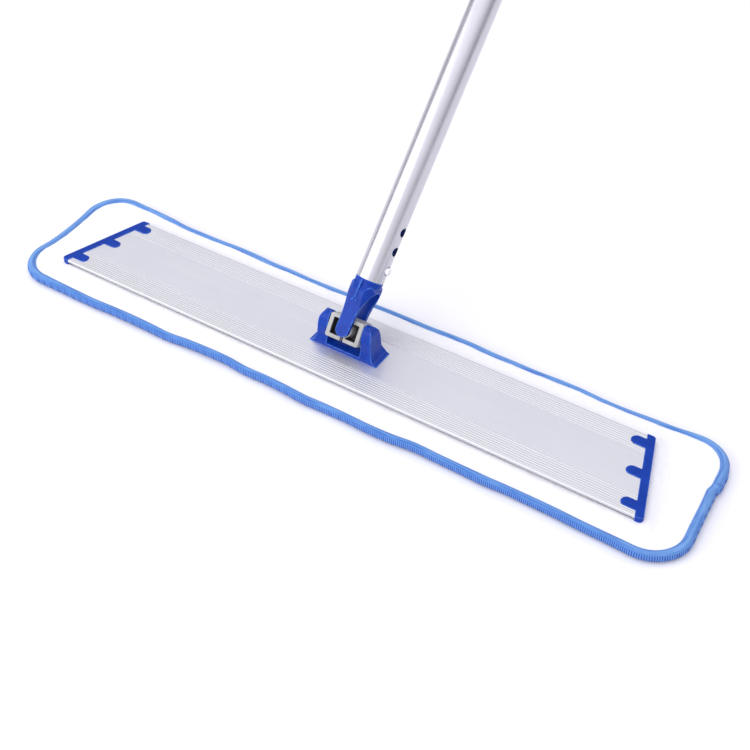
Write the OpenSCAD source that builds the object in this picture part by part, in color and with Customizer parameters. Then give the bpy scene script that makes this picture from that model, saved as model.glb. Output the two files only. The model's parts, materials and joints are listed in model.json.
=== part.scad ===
// Flat mop: aluminium plate on a looped microfibre pad, universal joint,
// round aluminium handle with a snap button, grip and hanging cap.
// Millimetres. Origin on the floor, in the middle of the pad's sole.
// +X along the plate, +Y away from the user's front, +Z up.

/* [Pose] */
// Lean of the handle away from vertical, about X
tilt = 35.7; // [0:0.1:60]
// Lean of the handle sideways, along the plate
swing = 4.4; // [-10:0.1:10]

/* [Plate] */
// Length of the plate with its caps, half way across its width
plate_l = 573; // [400:1:700]
// Width of the plate
plate_w = 86; // [80:1:100]
// Length that each end loses per unit of width (slant of the ends)
end_slant = 0.324; // [0:0.01:0.4]
// Height of the plate's top face above the floor
plate_top = 15; // [14.5:0.1:16]
// Thickness of the plate's sheet
sheet_t = 1.8; // [1.5:0.1:2]
// Height of the plate, from the lands for the hook tape to its top face
edge_h = 5; // [4.5:0.1:5.5]
// Height of the plate's turned-down long edges
lip_h = 3.2; // [2.8:0.1:4]
// Width of the smooth band in the middle
band_w = 44; // [40:1:50]
// Distance between the fine ribs
rib_pitch = 2.4; // [2.2:0.1:2.6]
// Number of fine ribs in each band
rib_count = 8; // [4:1:8]

/* [End caps] */
// Width of the bar along the plate's end
cap_bar = 7.6; // [6:0.1:9]
// Width of each finger
finger_w = 10; // [8:0.5:12]
// Distance between the fingers
finger_pitch = 32.8; // [28:0.1:34]
// Reach of a finger's tip inwards from the outer edge
finger_reach = 20.6; // [18:0.1:24]
// Height of the cap above the plate's top face
cap_proud = 0.6; // [0.5:0.1:1]

/* [Joint] */
// Height of the tilt and swing axes above the floor
pivot_z = 35; // [34.5:0.1:36]
// Length of the base along the plate
base_l = 70; // [66:1:80]
// Width of the base
base_w = 22; // [20:0.5:24]
// Distance between the inner faces of the ears
ear_gap = 34.4; // [34.2:0.1:35]
// Outer length over the two ears
ears_l = 57; // [54:0.5:60]
// Height of the ears' tops above the floor
ear_top = 48; // [46:0.5:49]
// Half width of an ear where it rises from its foot
ear_half_w = 8.6; // [8:0.1:8.8]
// Length of the cross block between the ears
block_l = 33.6; // [33:0.1:33.8]
// Thickness of the cross block between the yoke's legs
block_t = 18; // [17:0.1:18.2]
// Height of the cross block along the handle
block_h = 21.6; // [20:0.1:22]
// Radius of the tilt trunnions
trunnion_r = 4; // [3:0.1:5]
// Radius of the swing stubs
stub_r = 3.9; // [3:0.1:4.5]

/* [Yoke] */
// Distance from the axes to the bottom of the tube
tube_start = 48.5; // [47:0.5:50]
// Distance from the axes to the crown of the loop
loop_crown = 39; // [37:0.5:40]
// Half of the gap between the legs
leg_in = 9.3; // [9.2:0.1:9.5]
// Width of a leg at the swing axis
leg_w = 13; // [12:0.5:14]

/* [Handle] */
// Outer diameter of the tube
tube_d = 25; // [24:0.5:26]
// Wall of the tube
tube_wall = 1.2; // [1:0.1:1.3]
// Length of the tube
tube_l = 1370; // [1000:10:1500]
// Diameter of the snap button
button_d = 7; // [6:0.5:7.5]
// Diameter of the holes in the tube
snap_hole_d = 8.4; // [8:0.1:9]
// Distance from the tube's lower end to the first hole
snap_first = 12.3; // [11:0.1:14]
// Distance between the holes
snap_pitch = 17.8; // [15:0.1:20]
// Height of the button above the tube
button_proud = 2.8; // [2:0.1:3]
// Length of the grip
grip_l = 132; // [100:1:160]
// Outer diameter of the grip
grip_d = 31; // [29:0.5:34]

/* [Pad] */
// Length of the pad
pad_l = 675; // [600:1:720]
// Width of the pad
pad_w = 142; // [130:1:150]
// Radius of the pad's corners
pad_r = 36; // [30:1:60]
// Thickness of the pad
pad_t = 8.6; // [8:0.1:9]
// Width of the edge binding
bind_w = 7.2; // [6:0.1:8]

/* [Hidden] */
$fn = 64;

cap_blue = [0.12, 0.26, 0.74];
joint_blue = [0.14, 0.30, 0.84];
bind_blue = [0.38, 0.61, 0.95];
alu = [0.86, 0.87, 0.89];
block_grey = [0.75, 0.75, 0.71];

sole_clear = 1.2;
plate_low = plate_top - edge_h;
end_x = plate_l / 2;
slot_clear = 0.12;
ear_in = ear_gap / 2;
ear_out = ears_l / 2;
foot_top = plate_top + 3.6;
sweep_r = 16.8;
tube_r = tube_d / 2;
tube_in = tube_r - tube_wall;
spigot_r = tube_in - 0.1;
spigot_in = 9;
spigot_l = 62;
button_r = button_d / 2;
snap_z = tube_start + snap_first;
cap_z = tube_start + tube_l;
screw_x = 23;
screw_y = 5;

// Frames that move with the tilt, and with the tilt and the swing
module at_block() translate([0, 0, pivot_z]) rotate([-tilt, 0, 0]) children();
module at_handle() at_block() rotate([0, swing, 0]) children();

// Points on an arc, for outlines that are drawn as polygons
function arc(cx, cy, rx, ry, a0, a1, n = 12) =
  [for (i = [0:n]) let (a = a0 + (a1 - a0) * i / n) [cx + rx * cos(a), cy + ry * sin(a)]];

// Outer edge of the plate and caps on the right, at width position y
function edge_x(y) = end_x - end_slant * y;

// Bar with a width in Y and a straight run in X, closed by two round ends
module stadium(x0, x1, y, d) {
  translate([x0, y]) circle(d = d);
  translate([x1, y]) circle(d = d);
  translate([min(x0, x1), y - d / 2]) square([abs(x1 - x0), d]);
}

// ---------- plate ----------
module plate_section() {
  half = plate_w / 2;
  difference() {
    union() {
      translate([-half + 1, plate_top - sheet_t]) square([plate_w - 2, sheet_t]);
      for (s = [-1, 1]) {
        // rounded, turned-down long edge
        translate([s * (half - 1), plate_top - 1]) circle(r = 1);
        translate([s > 0 ? half - 1.6 : -half, plate_top - lip_h + 0.8]) square([1.6, lip_h - 1.8]);
        translate([s * (half - 0.8), plate_top - lip_h + 0.8]) circle(r = 0.8);
        // hollow land on the underside that carries the hook tape
        for (w = [12.6, 36.4]) translate([s * w - 0.6, plate_low + 0.2]) square([1.2, edge_h - sheet_t]);
        translate([s > 0 ? 12 : -37, plate_low]) square([25, 1.2]);
        // fine ribs on the top face
        for (i = [0:rib_count - 1])
          translate([s * (band_w / 2 + 1.5 + i * rib_pitch), plate_top - 0.5]) circle(r = 0.7, $fn = 24);
      }
    }
    // fine grooves that bound the smooth band
    for (s = [-1, 1]) translate([s * band_w / 2 - 0.2, plate_top - 0.15]) square([0.4, 1]);
  }
}
module plate_plan(inset) {
  half = plate_w / 2 + 1;
  polygon([[-edge_x(-half) + inset, -half], [edge_x(-half) - inset, -half],
    [edge_x(half) - inset, half], [-edge_x(half) + inset, half]]);
}
module finger_slots(s, d, lead) {
  for (i = [-1:1])
    let (y = i * finger_pitch, tip = edge_x(y) - finger_reach)
      stadium(s * (tip + finger_w / 2), s * (edge_x(y) - cap_bar - 1 + lead), y, d);
}
module plate() {
  color(alu) difference() {
    intersection() {
      translate([-plate_l / 2 - 20, 0, 0]) rotate([90, 0, 90]) linear_extrude(plate_l + 40) plate_section();
      translate([0, 0, plate_low - 1]) linear_extrude(edge_h + 3) plate_plan(cap_bar);
    }
    for (s = [-1, 1]) translate([0, 0, plate_top - sheet_t - 0.5]) linear_extrude(sheet_t + 2)
      finger_slots(s, finger_w + 2 * slot_clear, 8);
    // screw holes under the joint base
    for (sx = [-1, 1], sy = [-1, 1]) translate([sx * screw_x, sy * screw_y, plate_low])
      cylinder(r = 2.2, h = edge_h + 1);
  }
}

// ---------- end caps ----------
module cap_plan() {
  near = -plate_w / 2 - 0.5;
  far = plate_w / 2 + 0.8;
  r = 3.2;
  // a corner's circle touches the slanted edge and the long side
  lean = sqrt(1 + end_slant * end_slant);
  cn = edge_x(near + r) - r * lean;
  cf = edge_x(far - r) - r * lean;
  translate([cn, near + r]) circle(r = r);
  translate([cf, far - r]) circle(r = r);
  polygon([[edge_x(near) - cap_bar, near], [cn, near],
    [cn + r / lean, near + r + r * end_slant / lean], [cf + r / lean, far - r + r * end_slant / lean],
    [cf, far], [edge_x(far) - cap_bar, far]]);
}
module end_cap() {
  color(cap_blue) {
    // bar, full height, clear of the plate's end
    difference() {
      translate([0, 0, plate_low - 0.2]) linear_extrude(edge_h + cap_proud + 0.2) cap_plan();
      // relief so that the bar only meets the plate's end face
      translate([0, 0, plate_low - 1]) linear_extrude(edge_h + 2)
        polygon([[0, -60], [edge_x(-60) - cap_bar, -60], [edge_x(60) - cap_bar, 60], [0, 60]]);
    }
    // three fingers in the plate's slots
    difference() {
      translate([0, 0, plate_top - sheet_t]) linear_extrude(sheet_t + cap_proud) finger_slots(1, finger_w, 4);
      translate([0, 0, plate_top - sheet_t - 1]) linear_extrude(sheet_t + cap_proud + 3)
        polygon([[end_x + 40, -60], [edge_x(-60) - 2, -60], [edge_x(60) - 2, 60], [end_x + 40, 60]]);
    }
  }
}
module end_cap_right() end_cap();
module end_cap_left() mirror([1, 0, 0]) end_cap();

// ---------- hook tape ----------
module hook_strip(s) {
  color([0.92, 0.92, 0.93])
    translate([-252, s * 24.5 - 11, pad_t]) cube([504, 22, plate_low - pad_t]);
}
module hook_strip_front() hook_strip(-1);
module hook_strip_rear() hook_strip(1);

// ---------- joint base ----------
// Outline of the foot and both ears, seen from the front
module half_front() {
  // ear with a slight draft and a rounded outer top corner
  polygon(concat([[ear_in, plate_top], [ear_out + 0.4, plate_top],
    [ear_out, foot_top + 4], [ear_out - 1.4, ear_top - 8]],
    arc(ear_out - 7.6, ear_top - 8, 6.2, 8, 0, 90, 12),
    [[ear_in + 0.9, ear_top], [ear_in, ear_top - 1.5]]));
  // concave flare down to the tip of the foot
  polygon(concat([[ear_out - 2, plate_top], [base_l / 2, plate_top]],
    arc(base_l / 2, foot_top + 9, base_l / 2 - ear_out + 0.5, 11.6, 270, 180, 16),
    [[ear_out - 2, foot_top + 9]]));
  // half of the foot between the ears
  translate([-1, plate_top]) square([ear_in + 2, foot_top - plate_top]);
}
module base_front() {
  half_front();
  mirror([1, 0]) half_front();
}
// Outline of an ear seen from the side: a foot that narrows into a dome
module base_side() {
  polygon(concat(
    [[-base_w / 2, plate_top - 1], [base_w / 2, plate_top - 1], [base_w / 2, foot_top]],
    [[base_w / 2 - 1.2, foot_top + 3.6], [ear_half_w + 0.15, foot_top + 6.4]],
    arc(0, ear_top - 15, ear_half_w, 15, 0, 180, 28),
    [[-ear_half_w - 0.15, foot_top + 6.4], [-base_w / 2 + 1.2, foot_top + 3.6], [-base_w / 2, foot_top]]));
}
module joint_base() {
  color(joint_blue) difference() {
    intersection() {
      translate([0, base_w / 2 + 1, 0]) rotate([90, 0, 0]) linear_extrude(base_w + 2) base_front();
      translate([-base_l / 2 - 1, 0, 0]) rotate([90, 0, 90]) linear_extrude(base_l + 2) base_side();
    }
    // trough that the cross block and the legs turn in
    translate([-14, 0, pivot_z]) rotate([0, 90, 0]) cylinder(r = sweep_r, h = 28);
    // sockets for the trunnions
    for (s = [-1, 1]) translate([s > 0 ? ear_in - 1 : -ear_in - 7, 0, pivot_z]) rotate([0, 90, 0])
      cylinder(r = trunnion_r + 0.05, h = 8);
    // blind holes for the screws
    for (sx = [-1, 1], sy = [-1, 1]) translate([sx * screw_x, sy * screw_y, plate_top - 1])
      cylinder(r = 2, h = 11);
  }
}
module base_screws() {
  color([0.62, 0.63, 0.65]) for (sx = [-1, 1], sy = [-1, 1])
    translate([sx * screw_x, sy * screw_y, 0]) difference() {
      union() {
        translate([0, 0, plate_top - sheet_t - 0.8]) cylinder(r = 1.95, h = sheet_t + 0.8 + 8.5);
        translate([0, 0, plate_top - sheet_t - 0.8 - 2]) cylinder(r = 3.5, h = 2);
      }
      // hexagon socket
      translate([0, 0, plate_low - 1]) cylinder(r = 1.4, h = 2.6, $fn = 6);
    }
}
module base_washers() {
  color([0.7, 0.71, 0.73]) for (sx = [-1, 1], sy = [-1, 1])
    translate([sx * screw_x, sy * screw_y, plate_top - sheet_t - 0.8]) difference() {
      cylinder(r = 4.4, h = 0.8);
      translate([0, 0, -1]) cylinder(r = 2.2, h = 3);
    }
}

// ---------- cross block ----------
module block_front() {
  h = block_h / 2;
  l = block_l / 2;
  difference() {
    translate([-l, -h]) square([block_l, block_h]);
    // corners
    for (sx = [-1, 1], sz = [-1, 1]) translate([sx * l, sz * h]) rotate(45) square(2, center = true);
    // slit that lets the boss open
    translate([-1.5, -h - 1]) square([3, h]);
  }
}
module pocket_front() {
  difference() {
    for (s = [-1, 1]) translate([s * 8 - 4.9, -7.4]) square([9.8, 14.8]);
    circle(r = 7.1);
  }
}
module cross_block() {
  color(block_grey) at_block() difference() {
    union() {
      translate([0, block_t / 2, 0]) rotate([90, 0, 0]) linear_extrude(block_t) block_front();
      // trunnions
      for (s = [-1, 1]) translate([s > 0 ? block_l / 2 - 1 : -block_l / 2 - 6, 0, 0]) rotate([0, 90, 0])
        cylinder(r = trunnion_r, h = 7);
    }
    // pockets on both faces, with a web between them
    for (s = [-1, 1]) translate([0, s > 0 ? block_t / 2 + 1 : -1.2, 0]) rotate([90, 0, 0])
      linear_extrude(block_t / 2 - 0.2) pocket_front();
    // bore for the stubs
    translate([0, block_t, 0]) rotate([90, 0, 0]) cylinder(r = stub_r + 0.05, h = 2 * block_t);
  }
}

// ---------- yoke ----------
// Outline seen along the tilt axis: two legs, the crown and the shoulder
module yoke_side() {
  difference() {
    polygon(concat(
      [[-13.4, -7], [13.4, -7]], [[13.4, 18], [13.7, 26], [14.2, 33]],
      arc(8.2, 36.5, 6.1, 8.1, 0, 90, 12), [[-8.2, 44.6]],
      arc(-8.2, 36.5, 6.1, 8.1, 90, 180, 12), [[-14.2, 33], [-13.7, 26], [-13.4, 18]]));
    // loop between the legs
    translate([-leg_in, -10]) square([2 * leg_in, loop_crown - 7.6 + 10.01]);
    polygon(arc(0, loop_crown - 7.6, leg_in, 7.6, 0, 180, 24));
  }
}
// Outline seen from the front: round leg end, slow flare, full crown
module yoke_front() {
  w = leg_w / 2;
  circle(r = w);
  polygon(concat(
    [[w, 0], [w + 0.1, 10], [w + 0.5, 18], [w + 1.5, 24], [w + 3, 29], [w + 4.6, 33]],
    arc(6.5, 37.5, 6.2, 7.2, -10, 90, 10),
    arc(-6.5, 37.5, 6.2, 7.2, 90, 190, 10),
    [[-w - 4.6, 33], [-w - 3, 29], [-w - 1.5, 24], [-w - 0.5, 18], [-w - 0.1, 10], [-w, 0]]));
}
module yoke() {
  color(joint_blue) at_handle() {
    difference() {
      union() {
        intersection() {
          translate([-20, 0, 0]) rotate([90, 0, 90]) linear_extrude(40) yoke_side();
          translate([0, 20, 0]) rotate([90, 0, 0]) linear_extrude(40) yoke_front();
          // rounded from above, so that the shoulders have no square corners
          translate([0, 0, -10]) linear_extrude(60) polygon(arc(0, 0, 13.5, 15.7, 0, 354, 59));
        }
        // collar under the tube, and the spigot inside it
        translate([0, 0, 43]) cylinder(r = tube_r, h = tube_start - 43);
        translate([0, 0, tube_start - 1]) cylinder(r = spigot_r, h = spigot_l + 1);
        // centre ribs down the shoulders, each splitting in two
        for (s = [-1, 1]) {
          translate([-0.9, s > 0 ? 11 : -15.3, 31]) cube([1.8, 4.3, tube_start - 32]);
          for (q = [-1, 1]) translate([q * 0.3, s > 0 ? 11 : -14.5, 32]) rotate([0, q * 34, 0])
            translate([-0.55, 0, -6]) cube([1.1, 3.5, 6.4]);
        }
        // stubs into the cross block
        for (s = [-1, 1]) translate([0, s > 0 ? leg_in + 1 : -3, 0]) rotate([90, 0, 0])
          cylinder(r = stub_r, h = leg_in - 2);
      }
      // hollow spigot and the hole for the button
      translate([0, 0, tube_start - 0.5]) cylinder(r = spigot_in, h = spigot_l + 5);
      translate([0, 0, snap_z]) rotate([0, 90, 0]) cylinder(r = button_r + 0.1, h = 20);
      // slot that the spring's leg and the button go in through
      translate([3, -5, snap_z + 6.5]) cube([20, 10, spigot_l]);
    }
  }
}

// ---------- snap button ----------
module snap_button() {
  tip = tube_r + button_proud;
  color([0.95, 0.95, 0.96]) at_handle() translate([0, 0, snap_z]) rotate([0, 90, 0])
    rotate_extrude() polygon(concat(
      [[0, 6.9], [4.5, 6.9], [4.5, 7.7], [button_r, 7.7], [button_r, tip - 1.6]],
      arc(0, tip - 1.6, button_r, 1.6, 0, 90, 10)));
}
module button_spring() {
  // strip bent to a narrow V, its bend at the top of the spigot
  color([0.72, 0.73, 0.75]) at_handle() translate([0, 4, snap_z]) rotate([90, 0, 0]) linear_extrude(8)
    polygon([[-7.9, -8], [-7.2, -8], [-6.2, 26], [-4.9, 29.2], [-3.4, 29.4], [-2.2, 27],
      [6.2, 6], [6.2, -6], [6.9, -6], [6.9, 6.2], [-1.5, 27.3], [-3, 30.2], [-5.3, 30], [-6.9, 26.2]]);
}

// ---------- handle ----------
module pole() {
  color(alu) at_handle() difference() {
    translate([0, 0, tube_start]) cylinder(r = tube_r, h = tube_l);
    translate([0, 0, tube_start - 1]) cylinder(r = tube_in, h = tube_l + 2);
    for (i = [0:2]) translate([0, 0, snap_z + i * snap_pitch]) rotate([0, 90, 0])
      cylinder(r = snap_hole_d / 2, h = 20);
  }
}
module grip() {
  color(joint_blue) at_handle() translate([0, 0, cap_z - grip_l]) difference() {
    rotate_extrude() difference() {
      polygon(concat([[tube_r + 0.05, 0], [tube_r + 1.4, 0]],
        arc(tube_r + 1, 8, grip_d / 2 - tube_r - 1, 8, -90, 0, 8),
        arc(tube_r + 1, grip_l - 8, grip_d / 2 - tube_r - 1, 8, 0, 90, 8),
        [[tube_r + 0.05, grip_l]]));
      // finger grooves
      for (i = [0:10]) translate([grip_d / 2 + 1.1, 18 + i * 9.6]) circle(r = 1.9, $fn = 24);
    }
  }
}
module hanging_cap() {
  color(cap_blue) at_handle() translate([0, 0, cap_z]) difference() {
    union() {
      translate([0, 0, -26]) cylinder(r = spigot_r, h = 28);
      rotate_extrude() polygon(concat([[0, 0], [15.2, 0], [15.2, 4]], arc(9.2, 4, 6, 5, 0, 90, 8), [[0, 9]]));
      intersection() {
        translate([0, 5, 0]) rotate([90, 0, 0]) linear_extrude(10) {
          translate([0, 18]) circle(r = 12);
          translate([-12, 2]) square([24, 16]);
        }
        translate([0, 0, 16]) sphere(r = 17);
      }
    }
    // hollow plug, and the hanging hole
    translate([0, 0, -27]) cylinder(r = 9, h = 24);
    translate([0, 20, 19]) rotate([90, 0, 0]) cylinder(r = 5, h = 40);
  }
}

// ---------- pad ----------
module pad_plan(inset) {
  x = pad_l / 2 - pad_r;
  y = pad_w / 2 - pad_r;
  r = pad_r - inset;
  for (sx = [-1, 1], sy = [-1, 1]) translate([sx * x, sy * y]) circle(r = r);
  square([2 * x, 2 * (y + r)], center = true);
  square([2 * (x + r), 2 * y], center = true);
}
module pad_backing() {
  color("white") translate([0, 0, pad_t - 2]) linear_extrude(2) pad_plan(bind_w);
}
module pad_core() {
  color([0.93, 0.93, 0.9]) translate([0, 0, 3.6]) linear_extrude(pad_t - 5.6) pad_plan(bind_w);
}
module pad_face() {
  color([0.93, 0.95, 0.98]) linear_extrude(3.6) pad_plan(bind_w);
}
module pad_binding() {
  color(bind_blue) translate([0, 0, 0.4]) linear_extrude(pad_t - 0.6) difference() {
    pad_plan(0);
    pad_plan(bind_w);
  }
}

plate();
end_cap_left();
end_cap_right();
hook_strip_front();
hook_strip_rear();
joint_base();
base_screws();
base_washers();
cross_block();
yoke();
snap_button();
button_spring();
pole();
grip();
hanging_cap();
pad_backing();
pad_core();
pad_face();
pad_binding();
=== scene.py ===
"""Flat mop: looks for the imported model. Metres, in the CAD model's own frame."""

import json
import math

import bmesh
import bpy
import numpy as np
from mathutils import Matrix, Vector, noise


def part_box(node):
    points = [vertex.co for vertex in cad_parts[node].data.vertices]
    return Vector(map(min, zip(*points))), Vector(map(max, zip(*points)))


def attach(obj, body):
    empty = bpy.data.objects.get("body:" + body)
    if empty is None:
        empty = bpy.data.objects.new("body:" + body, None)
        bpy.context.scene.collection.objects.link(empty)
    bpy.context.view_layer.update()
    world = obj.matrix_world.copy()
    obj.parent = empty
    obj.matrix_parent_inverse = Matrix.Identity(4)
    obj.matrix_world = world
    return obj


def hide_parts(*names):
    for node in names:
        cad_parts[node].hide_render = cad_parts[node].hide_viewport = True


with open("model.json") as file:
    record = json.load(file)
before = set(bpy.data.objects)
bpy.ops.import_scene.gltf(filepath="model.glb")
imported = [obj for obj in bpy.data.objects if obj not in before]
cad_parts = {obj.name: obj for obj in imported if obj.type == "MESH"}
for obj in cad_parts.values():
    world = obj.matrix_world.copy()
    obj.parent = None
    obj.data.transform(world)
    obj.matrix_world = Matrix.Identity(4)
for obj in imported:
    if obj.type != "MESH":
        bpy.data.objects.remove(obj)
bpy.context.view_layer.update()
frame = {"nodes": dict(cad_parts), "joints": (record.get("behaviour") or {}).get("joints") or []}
NODES = frame["nodes"]
JOINTS = {j["name"]: j for j in frame["joints"]}
scene = bpy.context.scene
MM = 0.001

# ------------------------------------------------------------------ frames
PIVOT = Vector(JOINTS["swing"]["pos_m"])
Y_H = Vector(JOINTS["swing"]["axis"]).normalized()
X_H = -Vector(JOINTS["button_press"]["axis"]).normalized()
Z_H = X_H.cross(Y_H).normalized()
X_B = Vector((1, 0, 0))
Y_B = Y_H
Z_B = X_B.cross(Y_B).normalized()


# ------------------------------------------------------------------ small tools
def srgb(r, g, b):
    """An 8-bit display colour as linear RGBA."""
    def f(c):
        c /= 255.0
        return c / 12.92 if c <= 0.04045 else ((c + 0.055) / 1.055) ** 2.4
    return (f(r), f(g), f(b), 1.0)


class Mat:
    """A node material with one Principled shader and short helpers."""

    def __init__(self, name, **sockets):
        self.m = bpy.data.materials.new(name)
        self.m.use_nodes = True
        self.t = self.m.node_tree
        self.b = self.t.nodes["Principled BSDF"]
        for k, v in sockets.items():
            self.b.inputs[k.replace("_", " ")].default_value = v
        self.tc = None

    def n(self, kind, ins=None, **props):
        node = self.t.nodes.new("ShaderNode" + kind)
        for k, v in props.items():
            setattr(node, k, v)
        for k, v in (ins or {}).items():
            s = node.inputs[k]
            if isinstance(v, bpy.types.NodeSocket):
                self.t.links.new(v, s)
            else:
                s.default_value = v
        return node

    def obj(self):
        if self.tc is None:
            self.tc = self.n("TexCoord")
        return self.tc.outputs["Object"]

    def math(self, op, a, b=0.0, c=0.0, clamp=False):
        return self.n("Math", {0: a, 1: b, 2: c}, operation=op, use_clamp=clamp).outputs[0]

    def dot(self, v, axis):
        return self.n("VectorMath", {0: v, 1: tuple(axis)}, operation="DOT_PRODUCT").outputs["Value"]

    def axes(self, x, y, z, origin=(0, 0, 0)):
        """Object coordinates measured along three directions from a point."""
        p = self.n("VectorMath", {0: self.obj(), 1: tuple(origin)}, operation="SUBTRACT").outputs[0]
        return self.n("CombineXYZ", {0: self.dot(p, x), 1: self.dot(p, y), 2: self.dot(p, z)}).outputs[0]

    def scaled(self, v, s):
        return self.n("Mapping", {"Vector": v, "Scale": s}).outputs[0]

    def noise(self, v, scale, detail=2.0, rough=0.5, distort=0.0):
        return self.n("TexNoise", {"Vector": v, "Scale": scale, "Detail": detail,
                                   "Roughness": rough, "Distortion": distort}).outputs["Fac"]

    def voronoi(self, v, scale, feature="F1", randomness=1.0):
        return self.n("TexVoronoi", {"Vector": v, "Scale": scale, "Randomness": randomness},
                      feature=feature).outputs["Distance"]

    def span(self, v, a0, a1, b0, b1, smooth=False):
        return self.n("MapRange", {"Value": v, "From Min": a0, "From Max": a1, "To Min": b0, "To Max": b1},
                      interpolation_type="SMOOTHSTEP" if smooth else "LINEAR").outputs[0]

    def mix(self, fac, a, b, blend="MIX"):
        node = self.t.nodes.new("ShaderNodeMix")
        node.data_type = "RGBA"
        node.blend_type = blend
        for s, v in ((node.inputs[0], fac), (node.inputs[6], a), (node.inputs[7], b)):
            if isinstance(v, bpy.types.NodeSocket):
                self.t.links.new(v, s)
            else:
                s.default_value = v
        return node.outputs[2]

    def attr(self, name):
        return self.n("Attribute", attribute_name=name).outputs["Fac"]

    def bump(self, height, distance, strength=1.0, normal=None):
        ins = {"Height": height, "Distance": distance, "Strength": strength}
        if normal is not None:
            ins["Normal"] = normal
        return self.n("Bump", ins).outputs[0]

    def out(self, **links):
        for k, v in links.items():
            self.t.links.new(v, self.b.inputs[k.replace("_", " ")])
        return self.m


# ------------------------------------------------------------------ materials
def aluminium(name, light, dark, lines, rough, handle=False, bands=False):
    """Satin anodised metal with the fine lengthwise lines that extrusion or drawing leaves."""
    k = Mat(name, Metallic=0.93, Specular_IOR_Level=0.5)
    v = k.axes(X_H, Y_H, Z_H, PIVOT) if handle else k.obj()
    fine = k.noise(k.scaled(v, lines), 1.0, 3.0, 0.6)
    wide = k.noise(v, 14.0, 2.0)
    haze = k.noise(v, 140.0, 3.0, 0.6)
    tone = k.math("ADD", k.math("MULTIPLY", fine, 0.5), k.math("MULTIPLY", wide, 0.5))
    col = k.mix(k.span(tone, 0.35, 0.65, 0.0, 1.0), dark, light)
    # a few short handling scratches, along and across
    a = k.scaled(v, (lines[0] * 0.25 + 3, lines[1] * 0.25 + 3, lines[2] * 0.25 + 3))
    scratch = k.span(k.noise(a, 1.7, 1.0), 0.70, 0.74, 0.0, 1.0, True)
    col = k.mix(k.math("MULTIPLY", scratch, 0.35), col, (0.93, 0.93, 0.95, 1))
    if bands:
        # the two ribbed bands are coloured a duller grey, the front one more so towards its front edge
        y = k.n("SeparateXYZ", {0: v}).outputs[1]
        ribbed = k.span(k.math("ABSOLUTE", y), 0.0217, 0.0225, 0.0, 1.0, True)
        lot = k.math("ADD", k.span(y, -0.02, -0.043, 0.0, 0.30), 0.42)
        col = k.mix(k.math("MULTIPLY", ribbed, lot), col, k.mix(haze, (0.655, 0.66, 0.675, 1), (0.70, 0.70, 0.71, 1)))
    r = k.math("ADD", k.span(haze, 0.3, 0.7, rough - 0.04, rough + 0.05), k.math("MULTIPLY", scratch, -0.06))
    nrm = k.bump(fine, 0.00002, 0.5)
    nrm = k.bump(k.noise(v, 2600.0, 2.0), 0.00001, 0.35, nrm)
    return k.out(Base_Color=col, Roughness=r, Normal=nrm)


def plastic(name, base, deep, highlight_colour, rough, level=0.35, grain=1500.0):
    """Moulded plastic: fine grain, faint flow variation, and a painted highlight along its sharp edges."""
    k = Mat(name, Specular_IOR_Level=level)
    v = k.obj()
    flow = k.noise(v, 70.0, 3.0, 0.55, 0.6)
    speck = k.noise(v, grain, 2.0, 0.6)
    col = k.mix(k.span(flow, 0.3, 0.7, 0.0, 1.0), deep, base)
    # painted highlight: sharp convex edges are coloured lighter, unevenly along their length
    edge = k.span(k.n("NewGeometry").outputs["Pointiness"], 0.504, 0.53, 0.0, 1.0, True)
    edge_highlight = k.math("MULTIPLY", edge, k.span(k.noise(v, 320.0, 3.0), 0.38, 0.60, 0.22, 0.68, True))
    col = k.mix(edge_highlight, col, highlight_colour)
    scuff = k.span(k.noise(k.scaled(v, (60, 340, 340)), 1.0, 3.0), 0.6, 0.72, 0.0, 1.0, True)
    r = k.math("ADD", k.span(speck, 0.3, 0.7, rough - 0.04, rough + 0.05), k.math("MULTIPLY", scuff, 0.08))
    nrm = k.bump(speck, 0.00003, 0.3)
    nrm = k.bump(flow, 0.0002, 0.15, nrm)
    return k.out(Base_Color=col, Roughness=r, Normal=nrm)


def block_plastic():
    """Grey moulded block; its pockets are painted almost black as shade."""
    k = Mat("block_plastic", Specular_IOR_Level=0.35)
    v = k.obj()
    w = k.axes(X_B, Y_B, Z_B, PIVOT)
    sep = k.n("SeparateXYZ", {0: w}).outputs
    x, y, z = (k.math("ABSOLUTE", sep[i]) for i in range(3))
    deep = k.span(y, 0.0088, 0.0076, 0.0, 1.0, True)
    inside = k.math("MULTIPLY", k.math("LESS_THAN", x, 0.01305), k.math("LESS_THAN", z, 0.00755))
    ring = k.math("SQRT", k.math("ADD", k.math("MULTIPLY", x, x), k.math("MULTIPLY", z, z)))
    off_ring = k.math("GREATER_THAN", ring, 0.0073)
    pocket_shade = k.math("MULTIPLY", k.math("MULTIPLY", inside, off_ring), deep)
    flow = k.noise(v, 90.0, 3.0, 0.55, 0.5)
    speck = k.noise(v, 1700.0, 2.0, 0.6)
    col = k.mix(k.span(flow, 0.3, 0.7, 0.0, 1.0), srgb(158, 157, 155), srgb(184, 183, 181))
    # painted highlight: sharp convex edges are coloured lighter grey
    edge = k.span(k.n("NewGeometry").outputs["Pointiness"], 0.53, 0.62, 0.0, 0.6, True)
    col = k.mix(edge, col, srgb(206, 205, 203))
    # painted shade: the pockets beside the central boss are coloured almost black
    col = k.mix(k.math("MULTIPLY", pocket_shade, 0.96), col, k.mix(flow, srgb(24, 20, 24), srgb(48, 42, 46)))
    r = k.math("ADD", k.span(speck, 0.3, 0.7, 0.40, 0.52), k.math("MULTIPLY", pocket_shade, 0.2))
    return k.out(Base_Color=col, Roughness=r, Normal=k.bump(speck, 0.00003, 0.3))


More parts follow.
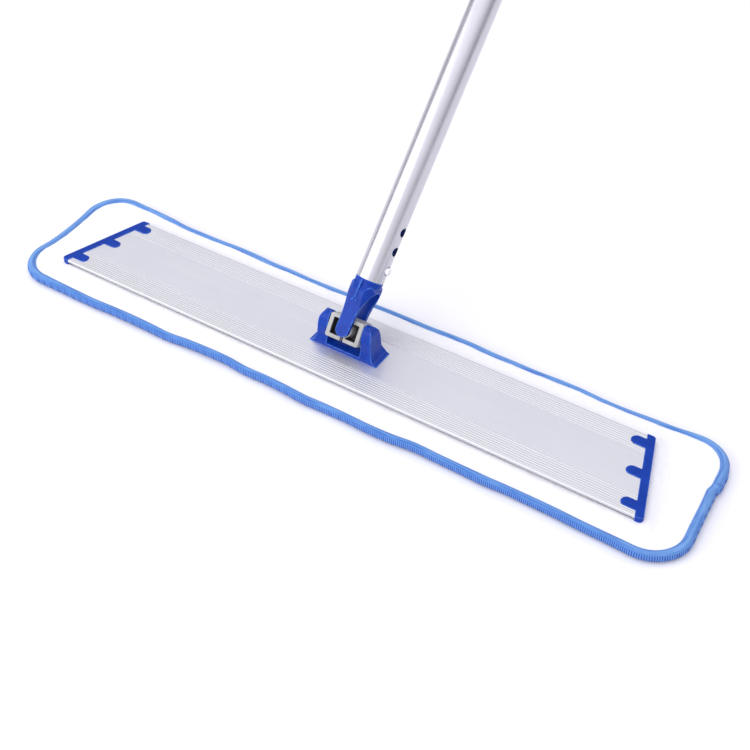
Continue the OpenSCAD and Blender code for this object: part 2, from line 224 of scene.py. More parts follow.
def rubber(name, base, deep):
    k = Mat(name, Specular_IOR_Level=0.3)
    v = k.obj()
    speck = k.noise(v, 1900.0, 3.0, 0.6)
    wide = k.noise(v, 55.0, 3.0)
    dust = k.span(k.noise(v, 260.0, 4.0, 0.65), 0.52, 0.75, 0.0, 0.35, True)
    col = k.mix(dust, k.mix(wide, deep, base), srgb(96, 124, 205))
    return k.out(Base_Color=col, Roughness=k.span(speck, 0.3, 0.7, 0.62, 0.78), Normal=k.bump(speck, 0.00006, 0.5))


def steel():
    k = Mat("zinc_steel", Metallic=0.95)
    v = k.obj()
    n1 = k.noise(v, 900.0, 3.0)
    col = k.mix(n1, (0.48, 0.49, 0.52, 1), (0.66, 0.67, 0.69, 1))
    return k.out(Base_Color=col, Roughness=k.span(n1, 0.3, 0.7, 0.25, 0.42), Normal=k.bump(n1, 0.00002, 0.4))


def hook_tape():
    """Nylon hook tape: a fine staggered field of hooks."""
    k = Mat("hook_tape", Specular_IOR_Level=0.3)
    hooks = k.voronoi(k.obj(), 900.0, randomness=0.35)
    col = k.mix(k.span(hooks, 0.0, 0.5, 0.0, 1.0), srgb(240, 240, 243), srgb(196, 197, 203))
    return k.out(Base_Color=col, Roughness=k.span(hooks, 0.0, 0.6, 0.35, 0.7), Normal=k.bump(hooks, 0.0003, 0.8))


def loop_fabric():
    """Brushed loop knit on the pad's upper side: a fine nap of curled loops in knitted wales."""
    k = Mat("loop_fabric", Specular_IOR_Level=0.15, Sheen_Weight=0.25, Sheen_Roughness=0.5)
    v = k.obj()
    warp = k.noise(v, 160.0, 3.0)
    wales = k.n("TexWave", {"Vector": v, "Scale": 260.0, "Distortion": 3.0, "Detail": 2.0,
                            "Detail Scale": 1.5}, wave_type="BANDS", bands_direction="Y").outputs["Fac"]
    loops = k.voronoi(v, 1050.0)
    fuzz = k.noise(v, 3200.0, 3.0, 0.7)
    h = k.math("ADD", k.math("MULTIPLY", k.math("SUBTRACT", 1.0, loops), 0.6),
               k.math("ADD", k.math("MULTIPLY", wales, 0.15), k.math("MULTIPLY", fuzz, 0.3)))
    shade = k.math("MULTIPLY", k.span(loops, 0.15, 0.65, 0.0, 1.0), 0.5)
    col = k.mix(shade, k.mix(k.span(warp, 0.35, 0.65, 0.0, 1.0), (0.93, 0.93, 0.945, 1), (0.96, 0.96, 0.97, 1)),
                (0.83, 0.83, 0.89, 1))
    return k.out(Base_Color=col, Roughness=k.span(fuzz, 0.3, 0.7, 0.85, 0.98),
                 Normal=k.bump(h, 0.00035, 0.45))


def microfibre():
    """Short looped pile of the wiping face, in tufted rows."""
    k = Mat("microfibre", Specular_IOR_Level=0.12, Sheen_Weight=0.35, Sheen_Roughness=0.45)
    v = k.obj()
    tuft = k.voronoi(v, 420.0)
    yarn = k.noise(k.scaled(v, (900, 1500, 900)), 1.0, 4.0, 0.7, 1.2)
    h = k.math("ADD", k.math("MULTIPLY", k.math("SUBTRACT", 1.0, tuft), 0.7), k.math("MULTIPLY", yarn, 0.4))
    # painted shade: the pile is coloured darker and bluer between the tufts
    col = k.mix(k.span(tuft, 0.1, 0.7, 0.0, 1.0), (0.88, 0.90, 0.94, 1), (0.70, 0.74, 0.84, 1))
    return k.out(Base_Color=col, Roughness=k.span(yarn, 0.3, 0.7, 0.86, 0.98), Normal=k.bump(h, 0.0007, 0.7))


def binding_tape():
    """Ribbed polyester tape; cross ribs follow the tape, and its outer, lower side is overcast with darker thread on a
    colour painted darker as shade towards the floor.
    """
    k = Mat("binding_tape", Specular_IOR_Level=0.25, Sheen_Weight=0.15, Sheen_Roughness=0.4)
    s = k.attr("tape_s")      # metres along the tape
    a = k.attr("tape_a")      # 0 at the inner upper edge, 1 at the inner lower edge
    v = k.obj()

    def wave(x, period):
        return k.math("ADD", k.math("MULTIPLY", k.math("SINE", k.math("MULTIPLY", x, 2 * math.pi / period)), 0.5), 0.5)

    rib = wave(s, 0.00075)
    stripe = wave(a, 1 / 17.0)
    sew = wave(s, 0.0018)
    fuzz = k.noise(v, 2400.0, 3.0, 0.65)
    wide = k.noise(v, 42.0, 3.0, 0.6)
    # yarns that run along the tape: long, slightly lighter and darker streaks
    along = k.n("CombineXYZ", {0: k.math("MULTIPLY", s, 38.0), 1: k.math("MULTIPLY", a, 15.0), 2: 0.0}).outputs[0]
    streak = k.noise(along, 1.0, 3.0, 0.6)
    top = k.mix(k.span(wide, 0.3, 0.7, 0.0, 1.0), srgb(80, 132, 202), srgb(104, 154, 216))
    # painted light: the two ends and the rear side are coloured paler, standing in for light falling on them
    place = k.n("SeparateXYZ", {0: v}).outputs
    ends = k.span(k.math("ABSOLUTE", place[0]), 0.27, 0.32, 0.0, 0.34, True)
    painted_light = k.math("MAXIMUM", ends, k.span(place[1], 0.02, 0.055, 0.0, 0.40, True))
    top = k.mix(painted_light, top, srgb(142, 182, 232))
    top = k.mix(k.span(streak, 0.38, 0.64, 0.0, 0.75, True), top, k.mix(painted_light, srgb(50, 98, 180), srgb(84, 132, 206)))
    top = k.mix(k.math("MULTIPLY", k.math("MULTIPLY", rib, stripe), 0.28), top, srgb(46, 92, 178))
    # painted highlight: a lighter streak along the crest of the tape's top
    crest_highlight = k.math("MULTIPLY", k.span(a, 0.16, 0.21, 0.0, 1.0, True), k.span(a, 0.29, 0.24, 0.0, 1.0, True))
    top = k.mix(k.math("MULTIPLY", crest_highlight, 0.35), top, srgb(132, 178, 230))
    # the outer, lower side: darker overcast thread dots, on colours that are also painted shade, deepening towards the
    # floor
    low = k.mix(k.span(sew, 0.25, 0.8, 0.0, 1.0), srgb(44, 82, 160), srgb(102, 150, 222))
    low = k.mix(k.span(a, 0.52, 0.70, 0.0, 0.45, True), low, srgb(52, 82, 150))
    col = k.mix(k.span(a, 0.33, 0.42, 0.0, 1.0, True), top, low)
    h = k.math("ADD", k.math("MULTIPLY", rib, 0.4), k.math("ADD", k.math("MULTIPLY", stripe, 0.25),
                                                          k.math("MULTIPLY", fuzz, 0.35)))
    return k.out(Base_Color=col, Roughness=k.span(fuzz, 0.3, 0.7, 0.58, 0.82), Normal=k.bump(h, 0.00016, 0.7))


def thread():
    k = Mat("stitching_thread", Specular_IOR_Level=0.35, Sheen_Weight=0.15)
    v = k.obj()
    twist = k.noise(k.scaled(v, (1800, 1800, 900)), 1.0, 2.0)
    col = k.mix(twist, srgb(40, 84, 170), srgb(84, 134, 214))
    return k.out(Base_Color=col, Roughness=k.span(twist, 0.3, 0.7, 0.5, 0.7), Normal=k.bump(twist, 0.00008, 0.5))


M = {
    "plate": aluminium("plate_aluminium", (0.79, 0.795, 0.835, 1), (0.75, 0.755, 0.80, 1), (5, 1300, 1300), 0.47, bands=True),
    "tube": aluminium("tube_aluminium", (0.615, 0.607, 0.645, 1), (0.565, 0.556, 0.60, 1), (900, 900, 5), 0.24, True),
    "cap": plastic("cap_plastic", srgb(11, 61, 163), srgb(6, 51, 149), srgb(70, 114, 214), 0.42, 0.16),
    "joint": plastic("joint_plastic", srgb(5, 60, 166), srgb(2, 48, 148), srgb(88, 142, 236), 0.28, 0.22),
    "block": block_plastic(),
    "button": plastic("button_plastic", (0.88, 0.88, 0.90, 1), (0.80, 0.80, 0.84, 1), (0.93, 0.93, 0.95, 1), 0.3),
    "steel": steel(),
    "hook": hook_tape(),
    "grip": rubber("grip_rubber", srgb(24, 62, 186), srgb(14, 44, 152)),
    "loop": loop_fabric(),
    "pile": microfibre(),
    "tape": binding_tape(),
    "thread": thread(),
}


def paint(node, mat):
    o = NODES[node]
    if not o.material_slots:
        o.data.materials.append(mat)
    for s in o.material_slots:
        s.material = mat


for node, key in {
    "plate": "plate", "end_cap_left": "cap", "end_cap_right": "cap",
    "hook_strip_front": "hook", "hook_strip_rear": "hook", "joint_base": "joint",
    "base_screws": "steel", "base_washers": "steel", "cross_block": "block",
    "yoke": "joint", "snap_button": "button", "button_spring": "steel",
    "pole": "tube", "grip": "grip", "hanging_cap": "cap",
}.items():
    paint(node, M[key])


# ------------------------------------------------------------------ moulded edges on the CAD pieces
def moulded(node, voxel, rounds, factor=0.5):
    """One continuous moulded skin: sharp outer edges and inner corners both get a radius."""
    o = NODES[node]
    r = o.modifiers.new("skin", "REMESH")
    r.mode = "VOXEL"
    r.voxel_size = voxel
    r.adaptivity = 0.0
    r.use_smooth_shade = True
    s = o.modifiers.new("radius", "SMOOTH")
    s.factor = factor
    s.iterations = rounds
    return o


for node in ("end_cap_left", "end_cap_right"):
    moulded(node, 0.00035, 5)
moulded("joint_base", 0.00035, 9)
moulded("cross_block", 0.00032, 4)
moulded("yoke", 0.00036, 9)


# ------------------------------------------------------------------ the pad
PAD_L, PAD_W, PAD_R, BIND = 675 * MM, 142 * MM, 36 * MM, 7.2 * MM
BOX_LO, BOX_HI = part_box("pad_binding")
PAD_L = BOX_HI[0] - BOX_LO[0]
PAD_W = BOX_HI[1] - BOX_LO[1]
PAD_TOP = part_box("pad_backing")[1][2]
FACE_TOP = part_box("pad_face")[1][2]

# How far the bound edge wanders from the straight outline, in mm, one value
# each 21.5 mm, counter-clockwise from the start of the front side.
WAVE = [
    2.0, 1.7, 1.9, 1.7, 0.8, 0.8, 0.5, 0.4, -1.3, -2.0, -2.7, -1.4,
    -1.6, -0.4, 0.6, -0.4, -0.5, 0.5, -0.1, -2.1, -2.1, -2.2, -1.6, -2.5,
    -2.5, -2.1, -1.3, -1.0, 0.1, 1.5, 2.9, 1.5, 0.0, -1.1, -0.3, 3.0,
    2.4, -0.1, -0.9, -3.0, -3.1, -1.0, -0.7, -2.1, -1.8, -2.3, -0.6, -0.8,
    -2.2, -1.7, -2.2, -3.1, -3.1, -4.1, -4.7, -3.2, -3.7, -2.1, -2.0, -3.3,
    -3.7, -3.5, -0.7, 0.4, 1.4, 4.3, 3.2, 0.1, -2.1, -1.9, 1.0, 2.4,
]
# How far the edge lifts off the floor, in mm, at the same places.
LIFT = [
    0.5, 0.4, 0.3, 0.5, 0.9, 1.2, 0.8, 0.4, 0.9, 1.5, 1.1, 0.5,
    0.8, 1.2, 0.6, 0.3, 0.6, 0.9, 0.7, 1.0, 0.6, 0.3, 0.5, 0.7,
    0.4, 0.6, 0.4, 0.3, 0.5, 0.4, 0.6, 1.0, 1.3, 0.9, 0.4, 0.3,
    0.6, 0.5, 0.3, 0.8, 0.9, 0.4, 0.3, 0.7, 0.5, 0.8, 0.4, 0.6,
    0.9, 0.5, 0.6, 0.8, 0.6, 0.9, 1.1, 0.5, 0.8, 0.4, 0.6, 0.7,
    0.9, 0.7, 0.3, 0.4, 0.6, 0.8, 0.5, 0.4, 0.8, 0.6, 0.5, 0.5,
]


# Width of the bound edge seen from above, in mm, at the same places.
WIDTH = [
    7.5, 6.6, 6.5, 5.9, 5.6, 6.0, 5.7, 5.2, 5.3, 5.2, 5.0, 5.1,
    5.2, 5.5, 5.8, 5.6, 5.2, 5.5, 5.9, 5.8, 5.6, 5.5, 5.8, 5.3,
    5.6, 5.7, 5.9, 5.9, 6.7, 7.0, 8.1, 8.3, 8.0, 8.3, 8.1, 7.9,
    6.4, 5.3, 4.9, 3.9, 3.9, 4.7, 5.0, 5.0, 5.2, 5.0, 5.7, 5.8,
    5.7, 5.9, 5.2, 5.1, 4.8, 4.7, 4.9, 5.4, 5.7, 6.2, 5.7, 5.2,
    5.1, 5.0, 6.1, 5.9, 6.6, 8.5, 8.9, 7.9, 7.4, 7.7, 7.9, 8.3,
]
SEAM_U = 0.458


def closed_spline(values, u):
    """A smooth closed curve through evenly spaced values; u runs once round from 0 to 1."""
    v = np.asarray(values, float)
    n = len(v)
    x = (np.asarray(u, float) % 1.0) * n
    i = np.floor(x).astype(int)
    t = x - i
    p0, p1, p2, p3 = (v[(i + k) % n] for k in (-1, 0, 1, 2))
    return 0.5 * (2 * p1 + (p2 - p0) * t + (2 * p0 - 5 * p1 + 4 * p2 - p3) * t * t
                  + (3 * p1 - p0 - 3 * p2 + p3) * t ** 3)


HALF_L, HALF_W, RAD = (PAD_L - BIND) / 2, (PAD_W - BIND) / 2, PAD_R - BIND / 2
RUN_X, RUN_Y, ARC = 2 * (HALF_L - RAD), 2 * (HALF_W - RAD), RAD * math.pi / 2
AROUND = 2 * RUN_X + 2 * RUN_Y + 4 * ARC


def outline(u):
    """Points and outward normals of the binding's centre line without its waves. u is 0 at the start of the front side."""
    d = (np.asarray(u, float) % 1.0) * AROUND
    p, n = np.zeros((len(d), 2)), np.zeros((len(d), 2))
    cx, cy = HALF_L - RAD, HALF_W - RAD
    start = 0.0
    legs = [("x", RUN_X, (-cx, -HALF_W), (1, 0), (0, -1)), ("a", ARC, (cx, -cy), -90, None),
            ("y", RUN_Y, (HALF_L, -cy), (0, 1), (1, 0)), ("a", ARC, (cx, cy), 0, None),
            ("x", RUN_X, (cx, HALF_W), (-1, 0), (0, 1)), ("a", ARC, (-cx, cy), 90, None),
            ("y", RUN_Y, (-HALF_L, cy), (0, -1), (-1, 0)), ("a", ARC, (-cx, -cy), 180, None)]
    for kind, length, c, e, out in legs:
        k = (d >= start - 1e-12) & (d < start + length + 1e-12)
        t = d[k] - start
        if kind == "a":
            a = np.radians(e + 90.0 * t / length)
            n[k] = np.stack([np.cos(a), np.sin(a)], 1)
            p[k] = np.array(c) + RAD * n[k]
        else:
            p[k] = np.array(c) + np.outer(t, e)
            n[k] = out
        start += length
    return p, n


def smooth_ring(a, passes):
    for _ in range(passes):
        a = 0.25 * np.roll(a, 1, 0) + 0.5 * a + 0.25 * np.roll(a, -1, 0)
    return a


def edge_line(u):
    """The bound edge as it lies: centre line, outward normal in the floor plane, and lift."""
    p, n = outline(u)
    wave = closed_spline(WAVE, u)
    # the tape steps inwards where its two ends are sewn over each other
    d = ((np.asarray(u, float) % 1.0) - SEAM_U) * AROUND / MM
    wave = wave + 1.0 * np.exp(-((d - 6.5) / 5.5) ** 2) - 0.4 * np.exp(-((d + 2.5) / 3.0) ** 2)
    p = p + n * (wave * MM)[:, None]
    return p, n, closed_spline(LIFT, u) * MM


def mesh_object(name, verts, faces, mat, smooth=True):
    me = bpy.data.meshes.new(name)
    me.from_pydata([tuple(map(float, v)) for v in verts], [], [tuple(map(int, f)) for f in faces])
    me.update()
    me.materials.append(mat)
    if smooth:
        me.polygons.foreach_set("use_smooth", [True] * len(me.polygons))
    o = bpy.data.objects.new(name, me)
    scene.collection.objects.link(o)
    return o


def under_plate(x, y, grow=0.0):
    """1 under the aluminium plate, falling to 0 just outside it."""
    hx = 0.2865 - 0.324 * np.abs(y) * np.sign(y) + grow
    hx = np.where(hx > 0, hx, 0)
    fx = np.clip((hx - np.abs(x)) / 0.006 + 0.5, 0, 1)
    fy = np.clip((0.043 + grow - np.abs(y)) / 0.005 + 0.5, 0, 1)
    return fx * fy


def ring_slab(name, n, rings, z_low, z_top, mat, crown=0.0):
    """A closed slab tucked 1.7 mm into the binding, made of rings that run in to the pad's long axis."""
    # start at the middle of the left end, so that front and rear mirror each other
    u0 = 1.0 - (RUN_Y / 2 + ARC) / AROUND
    u = u0 + np.arange(n) / n
    p, nrm, lift = edge_line(u)
    q, _ = outline(u)
    lift = smooth_ring(lift, 6)
    edge = p - nrm * ((closed_spline(WIDTH, u) - 1.7) * MM - BIND / 2)[:, None]
    spine = np.stack([np.clip(q[:, 0], -(HALF_L - HALF_W), HALF_L - HALF_W), np.zeros(n)], 1)
    verts, top, bot = [], [], []
    for side, z in (("top", z_top), ("bot", z_low)):
        for k in range(rings + 1):
            t = k / rings
            xy = edge * (1 - t) + spine * t
            rise = lift * max(0.0, 1 - t * 3.2) ** 2
            zz = z + rise
            if side == "top":
                zz = zz + crown * math.sin(math.pi * min(1.0, t * 2.2)) * (t < 0.4545)
            rows = np.column_stack([xy, zz])
            (top if side == "top" else bot).append(len(verts))
            verts.extend(rows.tolist())
    faces = []
    for k in range(rings):
        for i in range(n):
            j = (i + 1) % n
            a, b = top[k], top[k + 1]
            faces.append((a + i, a + j, b + j, b + i))
            a, b = bot[k], bot[k + 1]
            faces.append((a + j, a + i, b + i, b + j))
    for i in range(n):
        j = (i + 1) % n
        faces.append((bot[0] + i, bot[0] + j, top[0] + j, top[0] + i))
    o = mesh_object(name, verts, faces, mat)
    bm = bmesh.new()
    bm.from_mesh(o.data)
    bmesh.ops.remove_doubles(bm, verts=bm.verts, dist=0.00002)
    bmesh.ops.dissolve_degenerate(bm, edges=bm.edges, dist=0.00001)
    bmesh.ops.recalc_face_normals(bm, faces=bm.faces)
    bm.to_mesh(o.data)
    bm.free()
    return o


def get_points(o):
    p = np.zeros(len(o.data.vertices) * 3, np.float64)
    o.data.vertices.foreach_get("co", p)
    return p.reshape(-1, 3)


def set_points(o, p):
    o.data.vertices.foreach_set("co", np.asarray(p, np.float64).ravel())
    o.data.update()


def apply_modifiers(o):
    dg = bpy.context.evaluated_depsgraph_get()
    me = bpy.data.meshes.new_from_object(o.evaluated_get(dg))
    old = o.data
    name = old.name
    o.modifiers.clear()
    o.data = me
    bpy.data.meshes.remove(old)
    me.name = name


def puffed(o, cap, low):
    """Cloth simulation: the fabric is held by the binding, by the hook tape and by the foam below, and swells between them."""
    start = get_points(o)
    x, y, z = start.T
    strip = (np.abs(np.abs(y) - 0.0245) < 0.011) & (np.abs(x) < 0.252)
    hold = np.clip(1.0 - (z - low) / 0.0008, 0, 1)
    p, nrm, _ = edge_line(np.arange(720) / 720)
    rim = np.full(len(start), 1.0)
    for i in range(0, len(start), 4000):
        d = np.hypot(x[i:i + 4000, None] - p[None, :, 0], y[i:i + 4000, None] - p[None, :, 1])
        rim[i:i + 4000] = d.min(1)
    hold = np.maximum(hold, rim < 0.0030)
    hold = np.maximum(hold, strip * 0.97)
    g = o.vertex_groups.new(name="held")
    for i, w in enumerate(hold):
        if w > 0:
            g.add([i], float(w), "REPLACE")
    c = o.modifiers.new("cloth", "CLOTH")
    s = c.settings
    s.quality = 5
    s.mass = 0.25
    s.tension_stiffness = 18
    s.compression_stiffness = 10
    s.shear_stiffness = 6
    s.bending_stiffness = 1.2
    s.tension_damping = 8
    s.compression_damping = 8
    s.vertex_group_mass = "held"
    s.use_pressure = True
    s.uniform_pressure_force = 4.0
    s.effector_weights.gravity = 0.0
    c.collision_settings.use_collision = False
    c.point_cache.frame_start = 1
    c.point_cache.frame_end = 20
    for f in range(1, 21):
        scene.frame_set(f)
    dg = bpy.context.evaluated_depsgraph_get()
    e = o.evaluated_get(dg)
    me = e.to_mesh()
    end = np.zeros(len(me.vertices) * 3, np.float64)
    me.vertices.foreach_get("co", end)
    e.to_mesh_clear()
    o.modifiers.clear()
    scene.frame_set(1)
    move = end.reshape(-1, 3) - start
    size = np.linalg.norm(move, axis=1)
    keep = np.where(size > 1e-9, cap * np.tanh(size / cap) / np.maximum(size, 1e-9), 0.0)
    move *= keep[:, None]
    move[:, :2] *= 0.4
    set_points(o, start + move)


# upper layer: foam under brushed loop knit
cushion = ring_slab("pad_loop_cushion", 420, 22, FACE_TOP - 0.2 * MM, PAD_TOP - 0.9 * MM, M["loop"])
puffed(cushion, 1.15 * MM, FACE_TOP - 0.2 * MM)
sub = cushion.modifiers.new("fine", "SUBSURF")
sub.subdivision_type = "CATMULL_CLARK"
sub.levels = sub.render_levels = 1
apply_modifiers(cushion)
pts = get_points(cushion)
upper = np.clip((pts[:, 2] - 0.0055) / 0.0015, 0, 1)
soft = np.array([noise.noise(Vector((p[0] * 55, p[1] * 75, 3.1))) for p in pts])
nap = np.array([noise.noise(Vector((p[0] * 330, p[1] * 330, 7.7))) for p in pts])
pts[:, 2] += upper * (soft * 0.45 + nap * 0.16) * MM
# the plate presses the foam down, and the fabric swells a little along its edges
near = under_plate(pts[:, 0], pts[:, 1], 0.007)
pts[:, 2] += upper * near * 1.3 * MM
cover = under_plate(pts[:, 0], pts[:, 1], -0.0015)
ceiling = PAD_TOP - 0.05 * MM + (1 - cover) * 2.2 * MM
pts[:, 2] = np.minimum(pts[:, 2], ceiling)
set_points(cushion, pts)
cushion.data.polygons.foreach_set("use_smooth", [True] * len(cushion.data.polygons))
cushion.data.materials.clear()
cushion.data.materials.append(M["loop"])
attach(cushion, "pad")
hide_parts("pad_backing", "pad_core")

# wiping face: short pile in tufted rows that follow the outline
pile = ring_slab("pad_microfibre_pile", 900, 48, 0.0, FACE_TOP, M["pile"])
pts = get_points(pile)
p, nrm, _ = edge_line(np.arange(720) / 720)
rim = np.zeros(len(pts))
for i in range(0, len(pts), 4000):
    d = np.hypot(pts[i:i + 4000, None, 0] - p[None, :, 0], pts[i:i + 4000, None, 1] - p[None, :, 1])
    rim[i:i + 4000] = d.min(1)
row = 0.5 - 0.5 * np.cos(2 * math.pi * rim / (5.6 * MM))
bumpy = np.array([noise.noise(Vector((q[0] * 260, q[1] * 260, 1.3))) for q in pts])
lower = pts[:, 2] < 1.6 * MM
pts[lower, 2] += (row[lower] * 0.55 + np.clip(bumpy[lower], 0, 1) * 0.5) * MM
set_points(pile, pts)
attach(pile, "pad")
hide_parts("pad_face")

# binding: a tape folded over the edge, its cross ribs real on the overcast under side
# profile: distance in from the outer edge, height, in mm, from the inner upper edge round to the inner lower edge
PROFILE = [
    (7.4, 7.35), (7.15, 8.15), (6.4, 8.75), (5.3, 9.12), (4.1, 9.28), (2.9, 9.2), (1.8, 8.8), (0.95, 8.05),
    (0.4, 7.0), (0.12, 5.8), (0.05, 4.6), (0.15, 3.4), (0.5, 2.3), (1.15, 1.35), (2.1, 0.75), (3.3, 0.45),
    (4.6, 0.4), (5.9, 0.45), (6.9, 0.6), (7.4, 1.0), (6.6, 2.3), (6.2, 4.2), (6.5, 6.2),
]
OUTER = 20  # profile points that belong to the tape's outside


def bound_edge(n):
    u = np.arange(n) / n
    p, nrm, lift = edge_line(u)
    tan = np.roll(p, -1, 0) - np.roll(p, 1, 0)
    tan /= np.linalg.norm(tan, axis=1)[:, None]
    out = smooth_ring(np.stack([tan[:, 1], -tan[:, 0]], 1), 24)
    out /= np.linalg.norm(out, axis=1)[:, None]
    step = np.linalg.norm(np.roll(p, -1, 0) - p, axis=1)
    s = np.concatenate([[0], np.cumsum(step)[:-1]])
    around = step.sum()
    ribs = round(around / 0.0015)
    phase = s / around * ribs * 2 * math.pi
    prof = np.array(PROFILE) * MM
    m = len(prof)
    # a slow change of the tape's plumpness, and the sewn overlap where the tape's two ends meet
    plump = 1.0 + 0.05 * np.array([noise.noise(Vector((float(a) * 21, 0.3, 5.0))) for a in s])
    seam = SEAM_U * around
    d = s - seam
    lap = np.clip((d + 0.0008) / 0.0012, 0, 1) * np.clip((0.021 - d) / 0.003, 0, 1)
    dip = np.exp(-((d + 0.0022) / 0.0022) ** 2) + 0.7 * np.exp(-((d - 0.024) / 0.004) ** 2)
    centre = np.array([BIND / 2, 4.8 * MM])
    wide = closed_spline(WIDTH, u) * MM / BIND
    verts = np.zeros((n, m, 3))
    tape_a = np.zeros((n, m))
    for j in range(m):
        a = j / (OUTER - 1) if j < OUTER else 1.0
        off = prof[j] - centre
        size = np.linalg.norm(off)
        unit = off / size
        rib = 0.0
        if 0 < j < OUTER - 1:
            side = min(1.0, max(0.0, (a - 0.34) / 0.14)) * min(1.0, max(0.0, (1.0 - a) / 0.15))
            rib = (0.17 * side + 0.03) * MM * np.cos(phase + 0.5 * math.sin(j))
        grow = (plump - 1.0) * size + rib
        if j < OUTER:
            grow = grow + (lap * 0.4 - dip * 0.3) * MM * (0.25 if j < 3 else 1.0)
        q = prof[j] + unit * np.asarray(grow)[..., None] if np.ndim(grow) else prof[j] + unit * grow
        q = np.broadcast_to(q, (n, 2))
        inward = q[:, 0] * wide - BIND / 2
        verts[:, j, 0] = p[:, 0] - out[:, 0] * inward
        verts[:, j, 1] = p[:, 1] - out[:, 1] * inward
        verts[:, j, 2] = np.maximum(q[:, 1] + lift, 0.15 * MM)
        tape_a[:, j] = a
    idx = np.arange(n * m).reshape(n, m)
    nxt = np.roll(idx, -1, 0)
    faces = np.stack([idx, nxt, np.roll(nxt, -1, 1), np.roll(idx, -1, 1)], -1).reshape(-1, 4)
    o = mesh_object("pad_binding_tape", verts.reshape(-1, 3), faces, M["tape"])
    for name, val in (("tape_s", np.repeat(s[:, None], m, 1)), ("tape_a", tape_a)):
        at = o.data.attributes.new(name, "FLOAT", "POINT")
        at.data.foreach_set("value", val.ravel().astype(np.float32))
    bm = bmesh.new()
    bm.from_mesh(o.data)
    bmesh.ops.recalc_face_normals(bm, faces=bm.faces)
    bm.to_mesh(o.data)
    bm.free()
    return o, p, out, s, around, lift, lap


tape, line, out, dist, around, lift, lap = bound_edge(4200)
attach(tape, "pad")
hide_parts("pad_binding")


def stitches(name, rows, cross):
    """Separate thread stitches lying on the tape: rows along it at (inset, height), and short rows across it."""
    verts, faces = [], []

    def one(a, b, r):
        a, b = np.array(a), np.array(b)
        d = b - a
        length = np.linalg.norm(d)
        d /= length
        up = np.array([0, 0, 1.0])
        side = np.cross(d, up)
        side /= np.linalg.norm(side)
        up = np.cross(side, d)
        base = len(verts)
        shape = [(0.0, 0.25, -0.9), (0.18, 0.85, -0.1), (0.5, 1.0, 0.35), (0.82, 0.85, -0.1), (1.0, 0.25, -0.9)]
        for t, k, h in shape:
            c = a + d * length * t + up * r * h
            for q in range(7):
                ang = 2 * math.pi * q / 7
                verts.append(tuple(c + (side * math.cos(ang) + up * math.sin(ang)) * r * k))
        for ring in range(len(shape) - 1):
            for q in range(7):
                w = (q + 1) % 7
                faces.append((base + ring * 7 + q, base + ring * 7 + w,
                              base + ring * 7 + 7 + w, base + ring * 7 + 7 + q))
        faces.append(tuple(base + q for q in range(6, -1, -1)))
        faces.append(tuple(base + (len(shape) - 1) * 7 + q for q in range(7)))

    widths = closed_spline(WIDTH, np.arange(len(dist)) / len(dist)) * MM / BIND

    def at(s_now, inset, z):
        k = int(np.searchsorted(dist, s_now % around)) % len(dist)
        c = line[k] - out[k] * (inset * MM * widths[k] - BIND / 2)
        return (c[0], c[1], z * MM + lift[k] + lap[k] * 0.5 * MM)

    for inset, z, pitch, length, r in rows:
        count = round(around / (pitch * MM))
        for i in range(count):
            s0 = around * i / count
            one(at(s0, inset, z), at(s0 + length * MM, inset, z), r * MM)
    for offset in cross:
        s0 = SEAM_U * around + offset * MM
        for inset, z in ((6.1, 8.93), (4.9, 9.28), (3.7, 9.4), (2.5, 9.2), (1.5, 8.7)):
            one(at(s0, inset, z), at(s0 + 0.3 * MM, inset - 0.95, z - 0.12), 0.2 * MM)
    return mesh_object(name, verts, faces, M["thread"])


seam = stitches("pad_binding_stitches", [(5.7, 9.02, 3.1, 2.3, 0.2)], (1.6, 3.2))
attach(seam, "pad")


# ------------------------------------------------------------------ stage, light, camera
def area(name, loc, aim, w, h, power, colour):
    li = bpy.data.lights.new(name, "AREA")
    li.shape = "RECTANGLE"
    li.size, li.size_y = w, h
    li.energy = power
    li.color = colour
    o = bpy.data.objects.new(name, li)
    scene.collection.objects.link(o)
    o.location = loc
    o.rotation_mode = "QUATERNION"
    o.rotation_quaternion = (Vector(aim) - Vector(loc)).to_track_quat("-Z", "Y")
    o.visible_camera = False
    return o


floor = mesh_object("floor", [(-6, -6, 0), (6, -6, 0), (6, 6, 0), (-6, 6, 0)], [(0, 1, 2, 3)],
                    Mat("floor_white").m, smooth=False)
k = Mat("studio_floor", Specular_IOR_Level=0.1)
floor.data.materials[0] = k.out(
    Base_Color=k.mix(k.noise(k.obj(), 3.0, 3.0), (0.935, 0.93, 0.955, 1), (0.955, 0.95, 0.975, 1)),
    Roughness=k.span(k.noise(k.obj(), 40.0, 3.0), 0.3, 0.7, 0.82, 0.95))

world = bpy.data.worlds.new("studio")
scene.world = world
world.use_nodes = True
wt = world.node_tree
bg = wt.nodes["Background"]
bg.inputs["Strength"].default_value = 1.0
# a bright ceiling over a dimmer studio: radiance against the height of the direction
way = wt.nodes.new("ShaderNodeTexCoord")
split = wt.nodes.new("ShaderNodeSeparateXYZ")
ramp = wt.nodes.new("ShaderNodeValToRGB")
wt.links.new(way.outputs["Generated"], split.inputs[0])
wt.links.new(split.outputs[2], ramp.inputs[0])
# brighter windows in front, and dimmer towards the back right


def part(value, low, high, to_low, to_high):
    node = wt.nodes.new("ShaderNodeMapRange")
    node.interpolation_type = "SMOOTHSTEP"
    for key, v in {"From Min": low, "From Max": high, "To Min": to_low, "To Max": to_high}.items():
        node.inputs[key].default_value = v
    wt.links.new(value, node.inputs["Value"])
    return node.outputs[0]


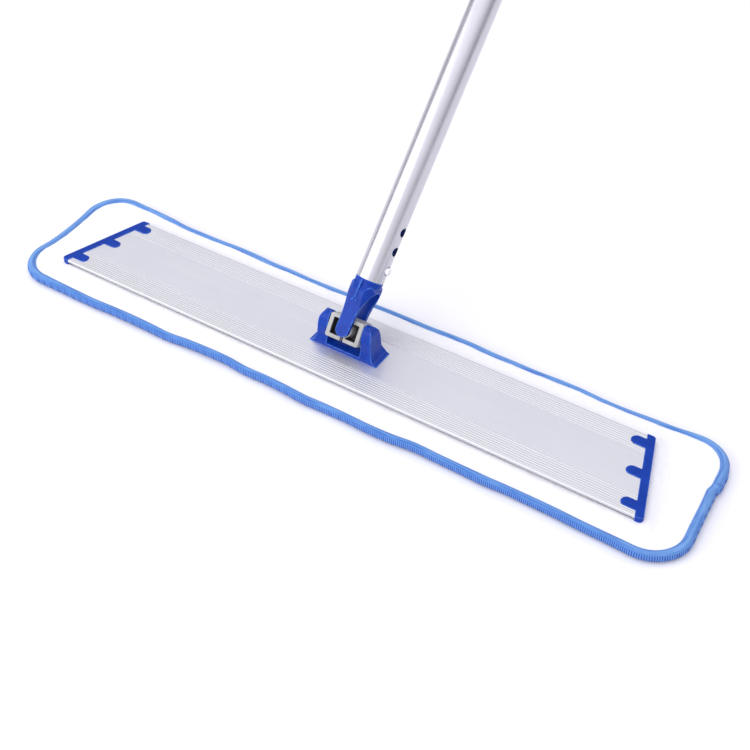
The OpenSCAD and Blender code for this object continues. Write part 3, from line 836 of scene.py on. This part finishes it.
def combine(op, a, b):
    node = wt.nodes.new("ShaderNodeMath")
    node.operation = op
    wt.links.new(a, node.inputs[0])
    wt.links.new(b, node.inputs[1])
    return node.outputs[0]


front = part(split.outputs[1], -0.85, -0.15, 1.6, 1.0)
behind = part(split.outputs[1], -0.45, 0.0, 0.0, 1.0)
off = combine("MULTIPLY", part(split.outputs[0], -0.6, 0.9, 0.0, 0.26), behind)
dim = wt.nodes.new("ShaderNodeVectorMath")
dim.operation = "SCALE"
wt.links.new(ramp.outputs[0], dim.inputs[0])
wt.links.new(combine("SUBTRACT", front, off), dim.inputs["Scale"])
wt.links.new(dim.outputs[0], bg.inputs["Color"])
els = ramp.color_ramp.elements
SKY = [(0.0, 0.50), (0.28, 0.66), (0.62, 0.88), (1.0, 1.02)]
while len(els) < len(SKY):
    els.new(0.5)
for e, (at, rad) in zip(els, SKY):
    e.position = at
    e.color = (rad * 0.97, rad * 0.962, rad * 1.025, 1)

area("soft_front_left", (-0.75, -1.15, 0.62), (0.0, 0.05, 0.15), 2.0, 1.0, 9.0, (1.0, 0.995, 0.985))
area("soft_top", (-0.2, -0.1, 2.0), (0.0, 0.0, 0.0), 1.6, 1.2, 6.5, (1.0, 0.995, 1.0))
area("soft_back_right", (1.3, 1.1, 1.0), (0.0, 0.1, 0.1), 1.0, 1.0, 4.0, (1.0, 0.995, 0.99))

cam = bpy.data.cameras.new("camera")
cam.lens = 62.1
cam.sensor_width = 36
cam.clip_start, cam.clip_end = 0.05, 50
camera = bpy.data.objects.new("camera", cam)
scene.collection.objects.link(camera)
az, el = math.radians(32.915), math.radians(43.151)
back = Vector((math.sin(az) * math.cos(el), -math.cos(az) * math.cos(el), math.sin(el)))
right = Vector((math.cos(az), math.sin(az), 0))
up = back.cross(right)
D, F = 1.148603, 1293.83
camera.location = back * D - right * (-25.449 * D / F) + up * (-15.811 * D / F)
camera.rotation_mode = "QUATERNION"
camera.rotation_quaternion = Matrix((right, up, back)).transposed().to_quaternion()
scene.camera = camera
scene.view_settings.view_transform = "Standard"
scene.view_settings.look = "None"
